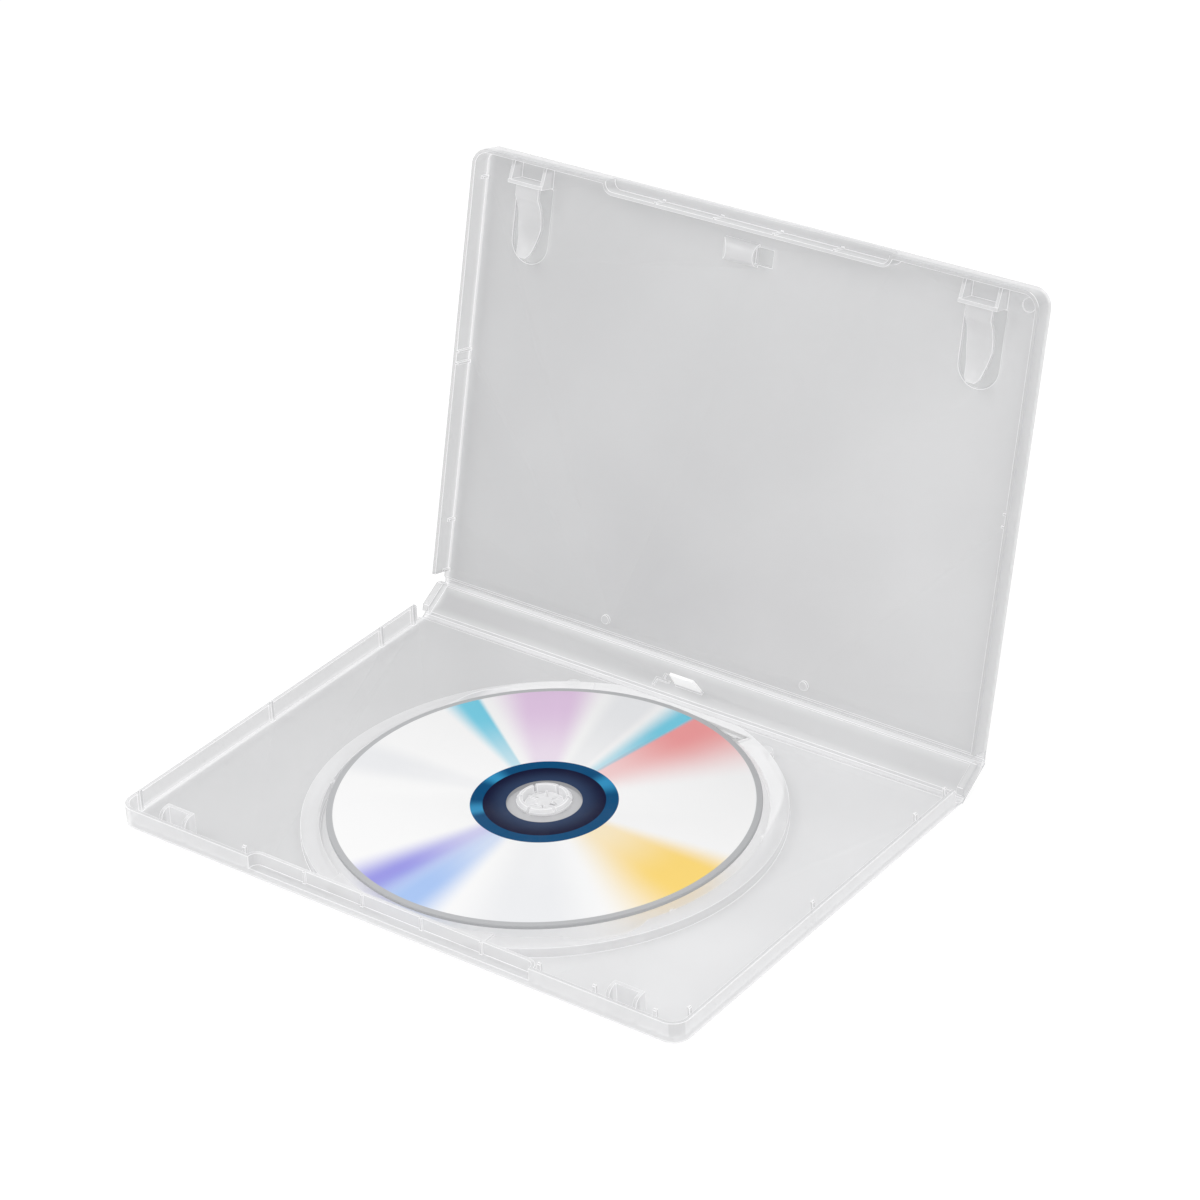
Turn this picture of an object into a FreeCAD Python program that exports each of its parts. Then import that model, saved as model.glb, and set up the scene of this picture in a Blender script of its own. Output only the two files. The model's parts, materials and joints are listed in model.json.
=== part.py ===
# A disc keep case standing open on its tray: tray, spine and cover moulded as one and folded at two
# living hinges, a clear film sleeve over the outside, and one disc on the hub. Millimetres, +Z up.
# The origin is the middle of the tray's resting face. X runs along the fore-edge, Y from it to the spine.
import FreeCAD
import Part
import math
import os

# Whole case
CASE_LENGTH = 190.0
FORE_ROOM = 5.9             # fore-edge to the disc
SPINE_ROOM = 9.1            # disc to the lower hinge
CASE_THICKNESS = 14.0       # shut, over the sleeve
CORNER_RADIUS = 5.2
PANEL = 1.1                 # moulded floor, spine and cover panel
WALL = 1.2                  # rims
TRAY_HEIGHT = 6.5           # resting face to the top of the tray's walls
SHUT_GAP = 0.15             # between the two rims when shut
EDGE_ROUND = 0.7            # outer long edges
SPINE_ANGLE = 30.0          # spine above level, as it stands open
COVER_ANGLE = 76.0          # cover above level, as it stands open

# Living hinges
WEB = 0.4                   # thin web that bends
WEB_REACH = 1.2             # hinge line to the foot of the bevel
WEB_GAP = 0.12              # between the rounded web and the leaf that it joins
RIM_SETBACK = 3.8           # hinge line to the ends of the side rims
SPINE_END = 2.3             # end walls of the spine
SPINE_END_HEIGHT = 3.4      # above the hinge line
SPINE_END_CHAMFER = 1.5
SPINE_END_GAP = 0.15        # end walls to tray and cover when shut

# Sleeve
FILM = 0.15
FILM_INSET = 1.2            # sleeve's edge inside the case's edge
FILM_BULGE = 1.5            # how far it stands off the spine

# Thumb recess, in both free edges
RECESS_LENGTH = 95.0
RECESS_SETBACK = 3.0
RECESS_LEDGE = 2.6          # outer face to the ledge's top
RECESS_WALL = 1.1
RECESS_RADIUS = 2.4
RECESS_RIBS = (-30.0, -10.0, 10.0, 30.0)
RIB = 0.8
RIB_DEPTH = 0.5

# Disc and hub
DISC_RADIUS = 60.0
DISC_HOLE = 7.5
DISC_THICKNESS = 1.2
STACK_RADIUS = 17.5         # raised ring under the disc, at its outside
STACK_WIDTH = 0.6
STACK_HEIGHT = 0.2
DISC_LIFT = 0.05            # running clearance on the seat
HUB_X = 3.2
SEAT_HEIGHT = 5.0
SEAT_RADIUS = 11.3
SEAT_CHAMFER = 0.2
HUB_RADIUS = 17.1
HUB_DRAFT = 0.5             # how far the platform's wall leans in
HUB_STEP = 0.4              # the platform's top below the seat
COLLAR_GAP = 0.2            # running room in the disc's hole
COLLAR_WALL = 1.3
LIP_HOLD = 0.25             # how far the lip reaches over the disc
COLLAR_RISE = 1.75          # above the disc's top face
LIP_FOOT = 0.2              # heights of the lip above the disc's top face
LIP_LOW = 0.5
LIP_HIGH = 0.9
FINGERS = 6
FINGER_SLOT = 0.9
SLOT_REACH = 0.1            # past the lip
BUTTON_GAP = 0.4            # between button and collar
BUTTON_SPARE = 0.15         # over the well when it is pressed right down
BUTTON_THICKNESS = 0.8
BUTTON_CHAMFER = 0.3
BOSS_RADIUS = 2.3
BOSS_RISE = 0.95
SPOKES = 6
SPOKE_WIDTH = 0.6
SPOKE_RISE = 0.5
BUTTON_TRAVEL = 1.4
STEM_RADIUS = 2.0
STEM_GAP = 0.3
GUIDE_WALL = 1.0

# Ring round the disc
RING_GAP = 2.0              # disc to the ring
RING_WIDTH = 5.2
RING_HEIGHT = 4.2
CHORD_SETBACK = 5.1         # the ring is cut straight on the spine's side
PAD_HEIGHT = 5.0            # crescent pads beside the thumb recess
PAD_HALF = 26.0
SCOOP_RADIUS = 16.0
SCOOP_SLOPE = 2.0
SCOOP_ANGLES = (142.0, -38.0)
RING_WEBS = (29.0, 221.0)
TOOTH_ANGLES = (-20.0, 20.0, 160.0, 200.0)
TOOTH = 1.4
PEG_INSET = 5.8             # pegs on the ring's outside, from the chord
PEG_RADIUS = 2.2
PEG_HEIGHT = 3.6
STAR_TURN = 5.5             # from a peg towards the chord, in degrees
STAR_RISE = 0.45

# Latch posts and locating fins of the tray
POST_INWARD = 19.0          # from the case's ends
POST_WIDTH = 9.6
POST_RISE = 2.4             # above the tray's wall
POST_DEPTH = 5.8            # outer face of the wall to the post's back
POST_INSET = 0.25           # behind the inner face of the cover's rim
FIN_RISE = 1.7
FIN_WIDTH = 1.2
FIN_DEPTH = 1.1
FIN_CHAMFER = 0.4
SIDE_FINS = (6.5, 21.5, 71.5)       # from the lower hinge
SIDE_FIN_FAR = 7.5          # from the free edge
RECESS_FINS = 2.5           # past the recess's ends
POST_FINS = (-8.4, 10.6)    # beside the right post, from its middle

# Leaflet clips, hook and marks of the cover
CLIP_WIDTH = 12.4
CLIP_WALL = 1.1
CLIP_DROP = 8.1             # free edge to the cross plate
CLIP_HEIGHT = 6.3           # above the hinge line
CLIP_FALL = 1.8             # the cheeks fall towards the rim
SHELF_LENGTH = 3.6
SHELF_HEIGHT = 4.9
TONGUE_WIDTH = 8.2
TONGUE_TIP = 4.8
TONGUE_LENGTH = 21.4
TONGUE_DIP = 0.8
TONGUE_END = 4.7
WINDOW_WIDTH = 12.8
WINDOW_LENGTH = 23.2
HOOK_X, HOOK_DROP = 1.6, 11.6       # middle of the hook's open end
HOOK_LENGTH = 10.6
HOOK_RADIUS = 3.3
HOOK_WALL = 0.8
HOOK_WINDOW = 5.6
PIP_X, PIP_REACH = 34.8, 5.3
PIP_RADIUS = 1.35
PIP_RISE = 0.8
MARK_RADIUS = 2.0
MARK_FROM_SIDE = 6.4
MARK_FROM_END = 5.4
MARK_DEPTH = 0.3
RIM_RIBS = (4.5, 20.5)      # from the upper hinge
RIM_RIB_FAR = 9.5           # from the free edge
RIM_RIB_PAIR = 71.5         # a fin of the tray stands between the two
PAIR_SPACING = 3.6

# Tab of the spine
TAB_X, TAB_REACH = 0.2, 4.9
TAB_WIDTH = 9.2
TAB_THICKNESS = 0.9
TAB_HEIGHT = 7.0
TAB_TAPER = 1.0
TEE_X = -9.2                # small moulded T beside the tab
TEE_HALF = 2.4
TEE_STEM = 2.7
TEE_LEG = 1.9

CASE_DEPTH = FORE_ROOM + 2 * DISC_RADIUS + SPINE_ROOM   # hinge line to free edge, tray and cover alike
HALF = CASE_LENGTH / 2
AXIS_HEIGHT = FILM + WEB / 2
OUTER = -WEB / 2                            # outer face, from the hinge line
INNER = OUTER + PANEL
SPINE_WIDTH = CASE_THICKNESS - 2 * AXIS_HEIGHT
TRAY_TOP = TRAY_HEIGHT - AXIS_HEIGHT
COVER_TOP = CASE_THICKNESS - AXIS_HEIGHT - TRAY_HEIGHT - SHUT_GAP
HINGE_Y = CASE_DEPTH / 2
HUB_Y = HINGE_Y - SPINE_ROOM - DISC_RADIUS
RING_INNER = DISC_RADIUS + RING_GAP
RING_OUTER = RING_INNER + RING_WIDTH
RING_CHORD = HINGE_Y - CHORD_SETBACK
PEG_ANGLE = math.degrees(math.asin((RING_CHORD - PEG_INSET - HUB_Y) / RING_OUTER))
COLLAR_RADIUS = DISC_HOLE - COLLAR_GAP
COLLAR_BORE = COLLAR_RADIUS - COLLAR_WALL
COLLAR_LIP = DISC_HOLE + LIP_HOLD
BUTTON_RADIUS = COLLAR_BORE - BUTTON_GAP
POST_X = HALF - POST_INWARD
FLOOR = FILM + PANEL
EPS = 1.0                                   # how far a cutter runs past what it cuts


def vec(x, y, z):
    return FreeCAD.Vector(x, y, z)


def box(x0, x1, y0, y1, z0, z1):
    return Part.makeBox(x1 - x0, y1 - y0, z1 - z0, vec(x0, y0, z0))


def cylinder(radius, x, y, z0, z1):
    return Part.makeCylinder(radius, z1 - z0, vec(x, y, z0))


def prism(points, direction):
    # A closed outline swept straight along a vector.
    return Part.Face(Part.makePolygon(points + [points[0]])).extrude(direction)


def section_along_x(points, x0, x1):
    # Points are (d, h) pairs in the plane across X.
    return prism([vec(x0, d, h) for d, h in points], vec(x1 - x0, 0, 0))


def turned(profile, x, y):
    # A solid of revolution from (radius, height) pairs about an upright axis.
    wire = Part.makePolygon([vec(r, 0, z) for r, z in profile + [profile[0]]])
    solid = Part.Face(wire).revolve(vec(0, 0, 0), vec(0, 0, 1), 360)
    solid.translate(vec(x, y, 0))
    return solid


def slab(half, near, far, radius, z0, z1):
    # A plate whose two far corners are round.
    plate = box(-half, half, near, far, z0, z1)
    corners = [e for e in plate.Edges if abs(e.CenterOfMass.y - far) < 1e-6
               and abs(abs(e.CenterOfMass.x) - half) < 1e-6]
    return plate.makeFillet(radius, corners)


def leaf(top):
    # Tray or cover panel with its rim. In this frame d runs from the hinge line to the free edge,
    # and h from the hinge line inwards.
    start = WEB / 2 + WEB_GAP
    shell = slab(HALF, start, CASE_DEPTH, CORNER_RADIUS, OUTER, top)
    rim_line = [e for e in shell.Edges if abs(e.CenterOfMass.z - OUTER) < 1e-6
                and e.CenterOfMass.y > start + EPS]
    shell = shell.makeFillet(EDGE_ROUND, rim_line)
    room = slab(HALF - WALL, start - EPS, CASE_DEPTH - WALL, CORNER_RADIUS - WALL, INNER, top + EPS)
    shell = shell.cut(room)
    shell = shell.cut(box(-HALF - EPS, HALF + EPS, 0, RIM_SETBACK, INNER, top + EPS))
    bevel = [(0, WEB / 2), (WEB_REACH, WEB / 2), (WEB_REACH + PANEL - WEB, INNER),
             (WEB_REACH + PANEL - WEB, INNER + EPS), (0, INNER + EPS)]
    shell = shell.cut(section_along_x(bevel, -HALF - EPS, HALF + EPS))
    return thumb_recess(shell, top)


def thumb_recess(shell, top):
    face = CASE_DEPTH - RECESS_SETBACK
    half = RECESS_LENGTH / 2
    ledge = OUTER + RECESS_LEDGE
    back = box(-half - RECESS_WALL, half + RECESS_WALL, face - RECESS_WALL, CASE_DEPTH - WALL / 4,
               INNER, top)
    back = back.makeFillet(RECESS_RADIUS + RECESS_WALL, upright_edges(back, face - RECESS_WALL))
    room = box(-half, half, face, CASE_DEPTH + EPS, ledge, top + EPS)
    room = room.makeFillet(RECESS_RADIUS, upright_edges(room, face))
    groove = box(-half + WALL, half - WALL, face, CASE_DEPTH - WALL, OUTER - EPS, ledge - PANEL)
    shell = shell.fuse(back).cut(room).cut(groove)
    ribs = [box(x - RIB / 2, x + RIB / 2, face, face + RIB_DEPTH, ledge, top) for x in RECESS_RIBS]
    return shell.fuse(ribs)


def upright_edges(solid, y):
    return [e for e in solid.Edges if abs(e.CenterOfMass.y - y) < 1e-6 and e.BoundBox.ZLength > 1
            and e.BoundBox.XLength < 1e-6]


def fin_profile(inner_face, floor, top):
    # (distance from the outer face, height) of a fin that stands behind the other leaf's rim.
    step = inner_face + POST_INSET
    return [(inner_face - WALL / 2, floor), (inner_face - WALL / 2, top - WALL), (step, top),
            (step, top + FIN_RISE - FIN_CHAMFER), (step + FIN_CHAMFER, top + FIN_RISE),
            (inner_face + FIN_DEPTH, top + FIN_RISE), (inner_face + FIN_DEPTH, floor)]


def tray_fins():
    fins = []
    profile = fin_profile(WALL, OUTER, TRAY_TOP)
    for d in SIDE_FINS + (CASE_DEPTH - SIDE_FIN_FAR,):
        for side in (-1, 1):
            outline = [vec(side * (HALF - a), d - FIN_WIDTH / 2, h) for a, h in profile]
            fins.append(prism(outline, vec(0, FIN_WIDTH, 0)))
    beside = RECESS_LENGTH / 2 + RECESS_FINS
    for x in (-beside, beside) + tuple(POST_X + shift for shift in POST_FINS):
        outline = [(CASE_DEPTH - a, h) for a, h in profile]
        fins.append(section_along_x(outline, x - FIN_WIDTH / 2, x + FIN_WIDTH / 2))
    return fins


def latch_post(x):
    # Two cheeks with quarter-round fronts and a back wall between them.
    front = CASE_DEPTH - WALL - POST_INSET
    back = CASE_DEPTH - POST_DEPTH
    crown = TRAY_TOP + POST_RISE
    arc_depth = front - (back + WALL)
    cheek = [(CASE_DEPTH - WALL / 2, OUTER), (CASE_DEPTH - WALL / 2, TRAY_TOP - WALL), (front, TRAY_TOP)]
    for step in range(1, 7):
        turn = math.radians(15 * step)
        cheek.append((front - arc_depth * (1 - math.cos(turn)), TRAY_TOP + POST_RISE * math.sin(turn)))
    cheek += [(back, crown), (back, OUTER)]
    solids = []
    for side in (-1, 1):
        a = x + side * POST_WIDTH / 2
        b = a - side * WALL
        solids.append(section_along_x(cheek, min(a, b), max(a, b)))
    half = POST_WIDTH / 2 - WALL / 2
    solids.append(box(x - half, x + half, back, back + WALL, OUTER, crown))
    return solids


def to_tray(shape):
    # Leaf frame to the tray's place: the free edge points along -Y.
    placed = shape.mirror(vec(0, 0, 0), vec(0, 1, 0))
    placed.translate(vec(0, HINGE_Y, AXIS_HEIGHT))
    return placed


def to_spine(shape):
    placed = shape.copy()
    placed.rotate(vec(0, 0, 0), vec(1, 0, 0), SPINE_ANGLE)
    placed.translate(vec(0, HINGE_Y, AXIS_HEIGHT))
    return placed


def to_cover(shape):
    placed = shape.copy()
    placed.rotate(vec(0, 0, 0), vec(1, 0, 0), COVER_ANGLE)
    lean = math.radians(SPINE_ANGLE)
    rise, run = SPINE_WIDTH * math.sin(lean), SPINE_WIDTH * math.cos(lean)
    placed.translate(vec(0, HINGE_Y + run, AXIS_HEIGHT + rise))
    return placed


def at_hub(radius, angle):
    turn = math.radians(angle)
    return HUB_X + radius * math.cos(turn), HUB_Y + radius * math.sin(turn)


def radial_bar(r0, r1, width, angle, z0, z1):
    bar = box(r0, r1, -width / 2, width / 2, z0, z1)
    bar.rotate(vec(0, 0, 0), vec(0, 0, 1), angle)
    bar.translate(vec(HUB_X, HUB_Y, 0))
    return bar


def scoop(angle, wall):
    # The cone that a finger notch leaves, or with a wall its moulded outside.
    x, y = at_hub(RING_OUTER - WALL - SCOOP_RADIUS, angle)
    low = SCOOP_RADIUS - SCOOP_SLOPE + wall
    cone = Part.makeCone(low, SCOOP_RADIUS + wall, RING_HEIGHT - FLOOR, vec(x, y, FLOOR))
    return cone.fuse(cylinder(SCOOP_RADIUS + wall, x, y, RING_HEIGHT, RING_HEIGHT + EPS))


def disc_ring():
    # A raised ring, hollow from below, cut by a chord at the spine and by the thumb recess.
    recess_face = -HINGE_Y + RECESS_SETBACK + RECESS_WALL
    span = box(-HALF, HALF, recess_face - RECESS_WALL, RING_CHORD, 0, PAD_HEIGHT + EPS)
    ring = cylinder(RING_OUTER, HUB_X, HUB_Y, FILM, RING_HEIGHT)
    ring = ring.cut(cylinder(RING_INNER, HUB_X, HUB_Y, 0, RING_HEIGHT + EPS))
    pads = cylinder(RING_OUTER, HUB_X, HUB_Y, FILM, PAD_HEIGHT)
    pads = pads.cut(cylinder(RING_INNER, HUB_X, HUB_Y, 0, PAD_HEIGHT + EPS))
    near = recess_face - RECESS_WALL
    pads = pads.common(box(HUB_X - PAD_HALF, HUB_X + PAD_HALF, near, 0, 0, PAD_HEIGHT + EPS))
    ring = ring.common(span).fuse(pads)
    for angle in SCOOP_ANGLES:
        ring = ring.cut(scoop(angle, 0))
    for angle in (PEG_ANGLE, 180 - PEG_ANGLE):
        x, y = at_hub(RING_OUTER, angle)
        ring = ring.fuse(cylinder(PEG_RADIUS, x, y, FILM, PEG_HEIGHT))
    for angle in TOOTH_ANGLES:
        tooth = radial_bar(RING_INNER - TOOTH / 2, RING_INNER + WALL, TOOTH, angle, FLOOR, RING_HEIGHT)
        ring = ring.fuse(tooth)
    for angle in (PEG_ANGLE + STAR_TURN, 180 - PEG_ANGLE - STAR_TURN):
        rib = radial_bar(RING_INNER, RING_OUTER - WALL, WALL / 2, angle, FLOOR, RING_HEIGHT + STAR_RISE)
        ring = ring.fuse(rib)
    return ring


def ring_groove():
    # What keeps the ring's wall even: a channel under its top, left out under scoops and webs.
    low, high = FILM - EPS, RING_HEIGHT - PANEL
    recess_face = -HINGE_Y + RECESS_SETBACK + RECESS_WALL
    groove = cylinder(RING_OUTER - PANEL, HUB_X, HUB_Y, low, high)
    groove = groove.cut(cylinder(RING_INNER + PANEL, HUB_X, HUB_Y, low - EPS, high + EPS))
    groove = groove.common(box(-HALF, HALF, recess_face + PANEL, RING_CHORD - PANEL, low, high))
    for angle in SCOOP_ANGLES:
        x, y = at_hub(RING_OUTER - WALL - SCOOP_RADIUS, angle)
        groove = groove.cut(cylinder(SCOOP_RADIUS + PANEL, x, y, low - EPS, high + EPS))
    for angle in RING_WEBS:
        groove = groove.cut(radial_bar(RING_INNER, RING_OUTER, PANEL, angle, low - EPS, high + EPS))
    return groove


def hub():
    # Platform, seat and collar as one hollow turning, open below.
    step = SEAT_HEIGHT - HUB_STEP
    under = step - PANEL
    well = SEAT_HEIGHT - BUTTON_TRAVEL
    disc_top = SEAT_HEIGHT + DISC_LIFT + DISC_THICKNESS
    crown = disc_top + COLLAR_RISE
    rim = HUB_RADIUS - HUB_DRAFT
    guide = STEM_RADIUS + STEM_GAP
    outside = [(HUB_RADIUS, FILM), (HUB_RADIUS, FLOOR), (rim, step - HUB_STEP), (rim - HUB_STEP, step),
               (SEAT_RADIUS + SEAT_CHAMFER, step), (SEAT_RADIUS, SEAT_HEIGHT), (COLLAR_RADIUS, SEAT_HEIGHT),
               (COLLAR_RADIUS, disc_top + LIP_FOOT), (COLLAR_LIP, disc_top + LIP_LOW),
               (COLLAR_LIP, disc_top + LIP_HIGH), (COLLAR_LIP - LIP_HIGH, crown), (COLLAR_BORE, crown)]
    inside = [(COLLAR_BORE, well), (guide, well), (guide, FILM + WEB), (guide + GUIDE_WALL, FILM + WEB),
              (guide + GUIDE_WALL, well - PANEL), (COLLAR_RADIUS, well - PANEL), (COLLAR_RADIUS, under),
              (rim - PANEL, under), (HUB_RADIUS - PANEL, FILM)]
    body = turned(outside + inside, HUB_X, HUB_Y)
    for i in range(FINGERS):
        angle = 360 / FINGERS * (i + 0.5)
        slot = radial_bar(COLLAR_BORE - STEM_GAP, COLLAR_LIP + SLOT_REACH, FINGER_SLOT, angle,
                          well, crown + EPS)
        body = body.cut(slot)
    return body


def make_tray():
    tray = leaf(TRAY_TOP)
    posts = latch_post(-POST_X) + latch_post(POST_X)
    tray = to_tray(tray.fuse(tray_fins() + posts))
    tray = tray.fuse(disc_ring())
    tray = tray.cut(ring_groove())
    tray = tray.cut(cylinder(HUB_RADIUS - 0.5, HUB_X, HUB_Y, 0, FLOOR + EPS))
    for angle in SCOOP_ANGLES:
        tray = tray.cut(scoop(angle, 0))
    return tray.fuse(hub()).removeSplitter()


def make_button():
    # Sunk button that lets the disc go when it is pressed: a spoked plate with a boss, on a guided stem.
    under = SEAT_HEIGHT + BUTTON_SPARE
    face = under + BUTTON_THICKNESS
    foot = FILM + WEB + BUTTON_TRAVEL
    boss = [(0, face + BOSS_RISE), (BOSS_RADIUS / 2, face + BOSS_RISE - BUTTON_CHAMFER / 4),
            (BOSS_RADIUS - BUTTON_CHAMFER, face + BOSS_RISE - BUTTON_CHAMFER),
            (BOSS_RADIUS, face + BOSS_RISE - 2 * BUTTON_CHAMFER), (BOSS_RADIUS, face)]
    plate = [(BUTTON_RADIUS - BUTTON_CHAMFER, face), (BUTTON_RADIUS, face - BUTTON_CHAMFER),
             (BUTTON_RADIUS, under), (STEM_RADIUS, under), (STEM_RADIUS, foot), (0, foot)]
    button = turned(boss + plate, HUB_X, HUB_Y)
    for i in range(SPOKES):
        angle = 360 / SPOKES * i
        spoke = radial_bar(BOSS_RADIUS / 2, BUTTON_RADIUS - BUTTON_CHAMFER, SPOKE_WIDTH, angle,
                           face - BUTTON_CHAMFER, face + SPOKE_RISE)
        button = button.fuse(spoke)
    return button.removeSplitter()


def make_disc():
    low = SEAT_HEIGHT + DISC_LIFT
    high = low + DISC_THICKNESS
    edge = DISC_THICKNESS / 6
    stack = [(STACK_RADIUS - STACK_WIDTH, low), (STACK_RADIUS - STACK_WIDTH * 2 / 3, low - STACK_HEIGHT),
             (STACK_RADIUS - STACK_WIDTH / 3, low - STACK_HEIGHT), (STACK_RADIUS, low)]
    rim = [(DISC_RADIUS - edge, low), (DISC_RADIUS, low + edge), (DISC_RADIUS, high - edge),
           (DISC_RADIUS - edge, high)]
    return turned([(DISC_HOLE, low)] + stack + rim + [(DISC_HOLE, high)], HUB_X, HUB_Y)


def make_spine():
    # Channel between the hinges; its rounded webs turn inside the gaps that tray and cover leave.
    far = SPINE_WIDTH
    bevel = PANEL - WEB
    section = [(0, OUTER), (far, OUTER), (far, WEB / 2), (far - WEB_REACH, WEB / 2),
               (far - WEB_REACH - bevel, INNER), (WEB_REACH + bevel, INNER), (WEB_REACH, WEB / 2),
               (0, WEB / 2)]
    spine = section_along_x(section, -HALF, HALF)
    for d in (0, far):
        spine = spine.fuse(Part.makeCylinder(WEB / 2, CASE_LENGTH, vec(-HALF, d, 0), vec(1, 0, 0)))
    low = INNER + SPINE_END_GAP
    high = far - low
    cut = SPINE_END_CHAMFER
    end = [(low + cut / 2, OUTER + WEB), (low, SPINE_END_HEIGHT - cut), (low + cut, SPINE_END_HEIGHT),
           (high - cut, SPINE_END_HEIGHT), (high, SPINE_END_HEIGHT - cut), (high - cut / 2, OUTER + WEB)]
    details = [section_along_x(end, -HALF, -HALF + SPINE_END), section_along_x(end, HALF - SPINE_END, HALF)]
    half = TAB_WIDTH / 2
    root = OUTER + WEB
    rise = INNER + RIB_DEPTH
    left, right = TAB_X - half, TAB_X + half
    tab = [vec(left, TAB_REACH, root), vec(left, TAB_REACH, TAB_HEIGHT),
           vec(right - TAB_TAPER, TAB_REACH, TAB_HEIGHT), vec(right, TAB_REACH, INNER + TAB_TAPER),
           vec(right, TAB_REACH, root)]
    details.append(prism(tab, vec(0, TAB_THICKNESS, 0)))
    left = TEE_X - TEE_HALF
    details.append(box(left, TEE_X + TEE_HALF, TAB_REACH, TAB_REACH + RIB, root, rise))
    details.append(box(TEE_X - RIB / 2, TEE_X + RIB / 2, TAB_REACH, TAB_REACH + TEE_STEM, root, rise))
    details.append(box(left, left + RIB, TAB_REACH - TEE_LEG, TAB_REACH + RIB, root, rise))
    return to_spine(spine.fuse(details).removeSplitter())


def leaflet_clip(x):
    # Two cheeks and a cross plate off the rim, and a sprung tongue over a window.
    plate = CASE_DEPTH - CLIP_DROP
    half = CLIP_WIDTH / 2
    root = OUTER + WEB
    solids = [box(x - half, x + half, plate, plate + CLIP_WALL, root, CLIP_HEIGHT)]
    rim = CASE_DEPTH - WALL / 2
    cheek = [(plate, root), (plate, CLIP_HEIGHT), (rim, CLIP_HEIGHT - CLIP_FALL), (rim, root)]
    for edge in (x - half, x + half - CLIP_WALL):
        solids.append(section_along_x(cheek, edge, edge + CLIP_WALL))
    return solids + [tongue(x, plate)]


def tongue(x, plate):
    # An arched leaf: level at its root, dipping to the panel, and lifting again at its tip.
    root = plate + CLIP_WALL / 2
    shelf = plate - SHELF_LENGTH
    tip = plate - TONGUE_LENGTH
    middle = (shelf + tip) / 2
    low_shelf, low_tip = SHELF_HEIGHT - CLIP_WALL, TONGUE_END - CLIP_WALL
    upper = [vec(0, root, SHELF_HEIGHT), vec(0, shelf, SHELF_HEIGHT), vec(0, tip, TONGUE_END)]
    lower = [vec(0, tip, low_tip), vec(0, shelf, low_shelf), vec(0, root, low_shelf)]
    arch = Part.Arc(upper[1], vec(0, middle, TONGUE_DIP + CLIP_WALL), upper[2]).toShape()
    sole = Part.Arc(lower[0], vec(0, middle, TONGUE_DIP), lower[1]).toShape()
    edges = [Part.makeLine(upper[0], upper[1]), arch, Part.makeLine(upper[2], lower[0]), sole,
             Part.makeLine(lower[1], lower[2]), Part.makeLine(lower[2], upper[0])]
    band = Part.Face(Part.Wire(edges)).extrude(vec(TONGUE_WIDTH, 0, 0))
    band.translate(vec(x - TONGUE_WIDTH / 2, 0, 0))
    wide, narrow = TONGUE_WIDTH / 2, TONGUE_TIP / 2
    corner = CLIP_WALL
    left = [vec(x - wide, plate + CLIP_WALL, 0), vec(x - wide, middle, 0), vec(x - narrow, tip + corner, 0),
            vec(x - narrow + corner, tip, 0)]
    right = [vec(2 * x - p.x, p.y, 0) for p in reversed(left)]
    return band.common(prism(left + right, vec(0, 0, CLIP_HEIGHT)))


def clip_window(x):
    far = CASE_DEPTH - CLIP_DROP - WEB
    half = WINDOW_WIDTH / 2
    near = far - WINDOW_LENGTH
    slot = box(x - half, x + half, near + half, far, OUTER - EPS, INNER + EPS)
    return slot.fuse(cylinder(half, x, near + half, OUTER - EPS, INNER + EPS))


def booklet_hook():
    # A half barrel on the panel, closed at one end, whose open end stands over a window.
    d = CASE_DEPTH - HOOK_DROP
    axis = vec(1, 0, 0)
    start = HOOK_X - HOOK_LENGTH
    near, far = d - HOOK_RADIUS - EPS, d + HOOK_RADIUS + EPS
    crown = INNER + HOOK_RADIUS
    barrel = Part.makeCylinder(HOOK_RADIUS, HOOK_LENGTH + HOOK_WALL, vec(start, d, INNER), axis)
    barrel = barrel.common(box(start, HOOK_X + HOOK_WALL, near, far, OUTER + WEB, crown))
    mouth = vec(start + HOOK_RADIUS, d, INNER)
    bore = Part.makeCylinder(HOOK_RADIUS - HOOK_WALL, HOOK_LENGTH, mouth, axis)
    room = bore.common(box(start, HOOK_X + HOOK_LENGTH, near, far, INNER, crown))
    slope = [vec(start - EPS, near, INNER), vec(start + HOOK_RADIUS, near, crown + EPS),
             vec(start - EPS, near, crown + EPS)]
    return barrel.cut(room).cut(prism(slope, vec(0, far - near, 0)))


def hook_window():
    d = CASE_DEPTH - HOOK_DROP
    reach = HOOK_RADIUS - HOOK_WALL
    return box(HOOK_X, HOOK_X + HOOK_WINDOW, d - reach, d + reach, OUTER - EPS, INNER + EPS)


def rim_ribs():
    ribs = []
    short = COVER_TOP / 2
    rows = [(d, short) for d in RIM_RIBS + (CASE_DEPTH - RIM_RIB_FAR,)]
    rows += [(RIM_RIB_PAIR - PAIR_SPACING / 2, COVER_TOP), (RIM_RIB_PAIR + PAIR_SPACING / 2, COVER_TOP)]
    for d, top in rows:
        for side in (-1, 1):
            a = side * (HALF - WALL / 2)
            b = side * (HALF - WALL - RIB)
            ribs.append(box(min(a, b), max(a, b), d - RIB / 2, d + RIB / 2, OUTER + WEB, top))
    return ribs


def make_cover():
    cover = leaf(COVER_TOP)
    details = leaflet_clip(-POST_X) + leaflet_clip(POST_X) + [booklet_hook()] + rim_ribs()
    for side in (-1, 1):
        details.append(cylinder(PIP_RADIUS, side * PIP_X, PIP_REACH, OUTER + WEB, INNER + PIP_RISE))
    cover = cover.cut(clip_window(-POST_X)).cut(clip_window(POST_X))
    cover = cover.fuse(details).cut(hook_window())
    mark_x, mark_d = HALF - MARK_FROM_SIDE, CASE_DEPTH - MARK_FROM_END
    mark = cylinder(MARK_RADIUS, mark_x, mark_d, INNER - MARK_DEPTH, INNER + EPS)
    return to_cover(cover.cut(mark).removeSplitter())


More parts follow.
